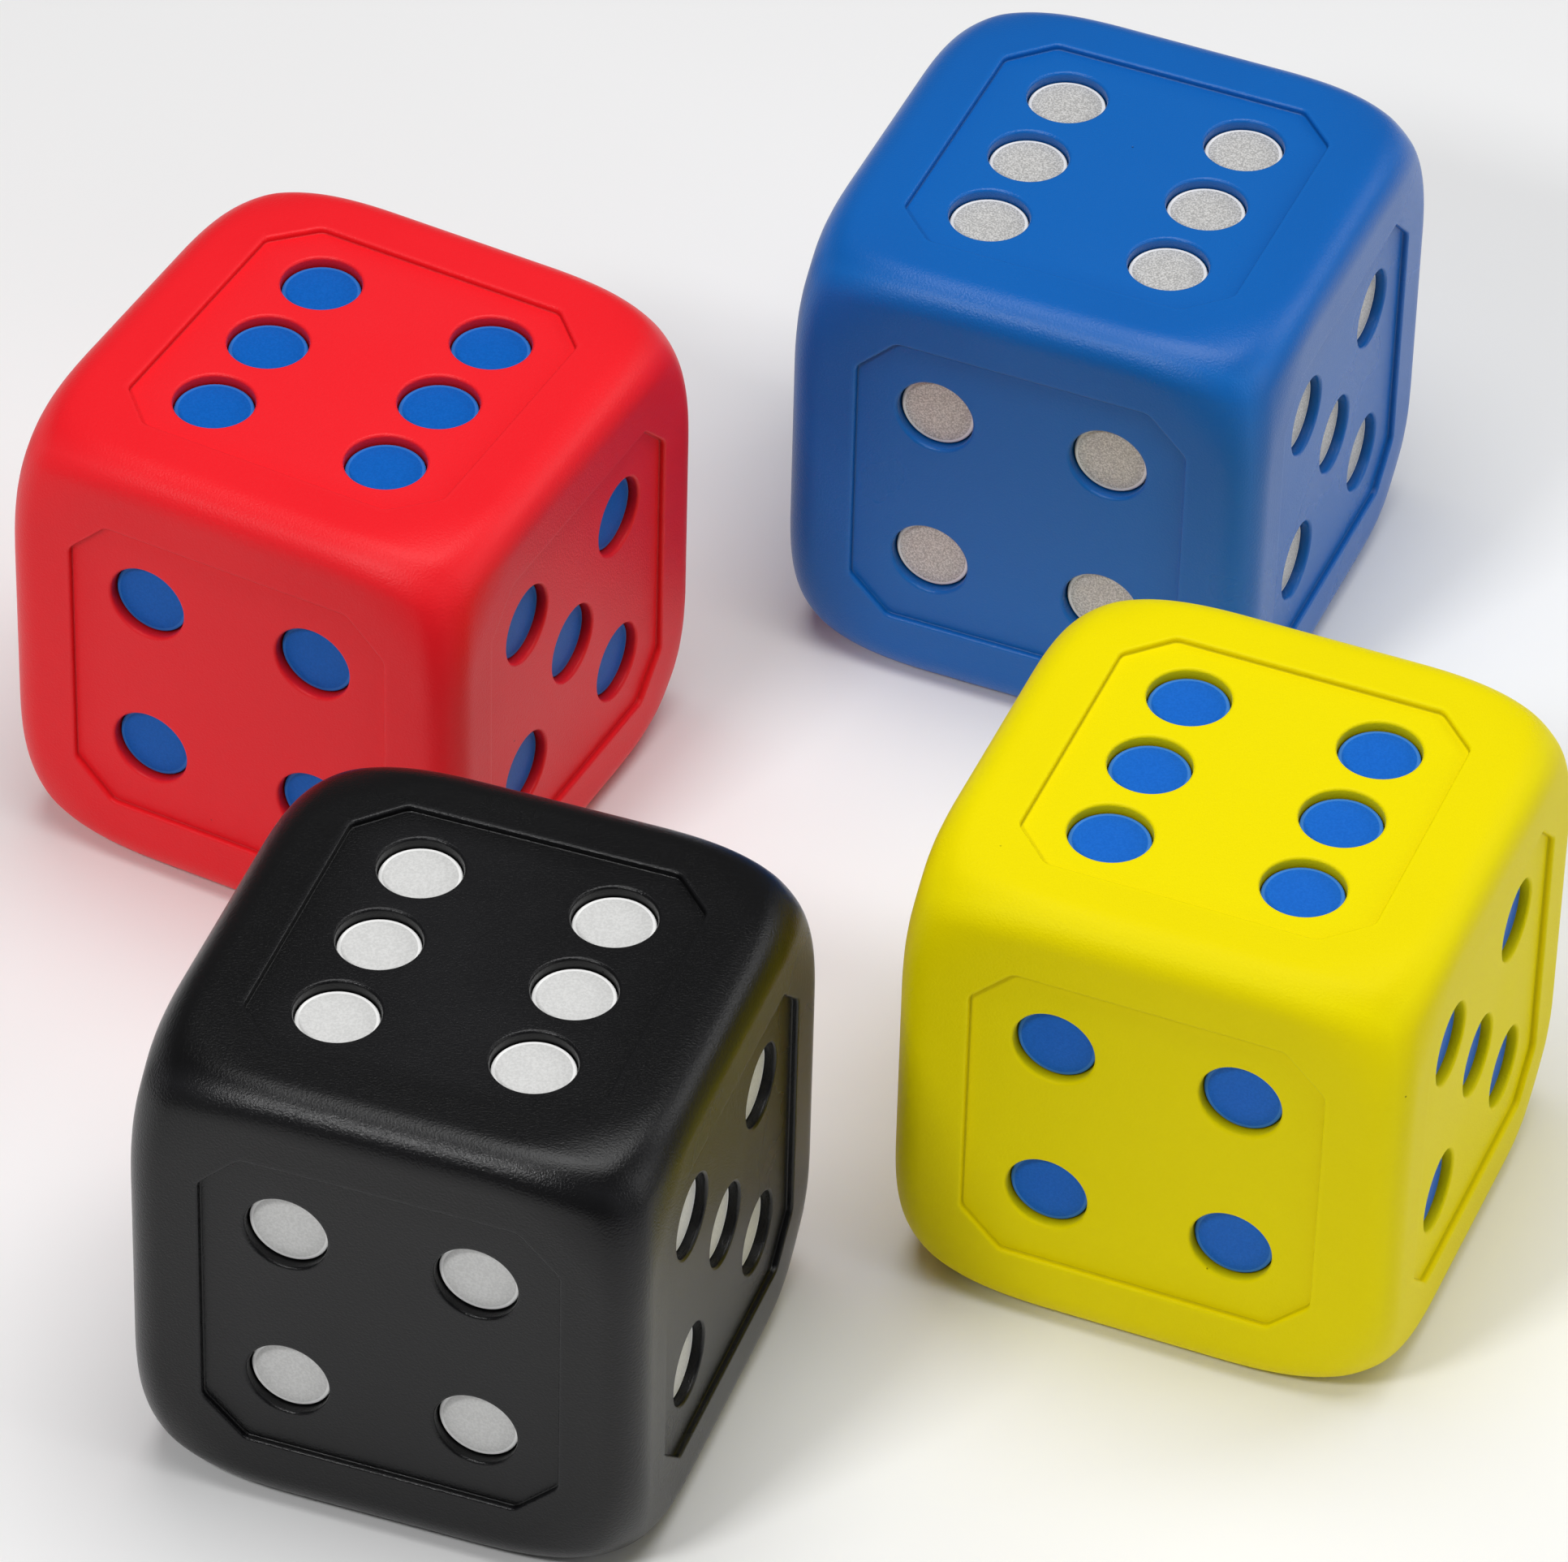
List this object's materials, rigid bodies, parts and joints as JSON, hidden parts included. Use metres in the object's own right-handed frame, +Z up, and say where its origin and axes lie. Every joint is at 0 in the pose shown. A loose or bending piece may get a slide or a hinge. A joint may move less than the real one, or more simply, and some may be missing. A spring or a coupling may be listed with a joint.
{
  "type": "giant yard dice",
  "caption": "Set of giant soft foam lawn dice lying loose, each with recessed eight-sided panels and coloured disc pips set in round wells.",
  "frame": {"origin": "middle of the set's footprint, on the ground", "axes": "+Z up; +Y towards the back of the set, its longest extent; the fours face roughly -Y"},
  "size_m": [0.4462, 0.5398, 0.15],
  "materials": {
    "black_skin": "satin moulded foam skin with a fine grain",
    "black_pips": "satin paint with a fine grain",
    "yellow_skin": "satin moulded foam skin with a fine grain",
    "yellow_pips": "satin paint with a fine grain",
    "red_skin": "satin moulded foam skin with a fine grain",
    "red_pips": "satin paint with a fine grain",
    "blue_skin": "satin moulded foam skin with a fine grain",
    "blue_pips": "fine metallic silver paint",
    "foam": "open-cell foam"
  },
  "bodies": {
    "black_die": {"black_skin": "black_skin", "black_core": "foam", "black_pips_one": "black_pips", "black_pips_two": "black_pips", "black_pips_three": "black_pips", "black_pips_four": "black_pips", "black_pips_five": "black_pips", "black_pips_six": "black_pips"},
    "yellow_die": {"yellow_skin": "yellow_skin", "yellow_core": "foam", "yellow_pips_one": "yellow_pips", "yellow_pips_two": "yellow_pips", "yellow_pips_three": "yellow_pips", "yellow_pips_four": "yellow_pips", "yellow_pips_five": "yellow_pips", "yellow_pips_six": "yellow_pips"},
    "red_die": {"red_skin": "red_skin", "red_core": "foam", "red_pips_one": "red_pips", "red_pips_two": "red_pips", "red_pips_three": "red_pips", "red_pips_four": "red_pips", "red_pips_five": "red_pips", "red_pips_six": "red_pips"},
    "blue_die": {"blue_skin": "blue_skin", "blue_core": "foam", "blue_pips_one": "blue_pips", "blue_pips_two": "blue_pips", "blue_pips_three": "blue_pips", "blue_pips_four": "blue_pips", "blue_pips_five": "blue_pips", "blue_pips_six": "blue_pips"}
  },
  "joints": [
    {"name": "yellow_lift", "type": "slide", "parent": "black_die", "child": "yellow_die", "axis": [0, 0, 1], "range_m": [0, 0.25]},
    {"name": "red_lift", "type": "slide", "parent": "black_die", "child": "red_die", "axis": [0, 0, 1], "range_m": [0, 0.25]},
    {"name": "blue_lift", "type": "slide", "parent": "black_die", "child": "blue_die", "axis": [0, 0, 1], "range_m": [0, 0.25]}
  ]
}
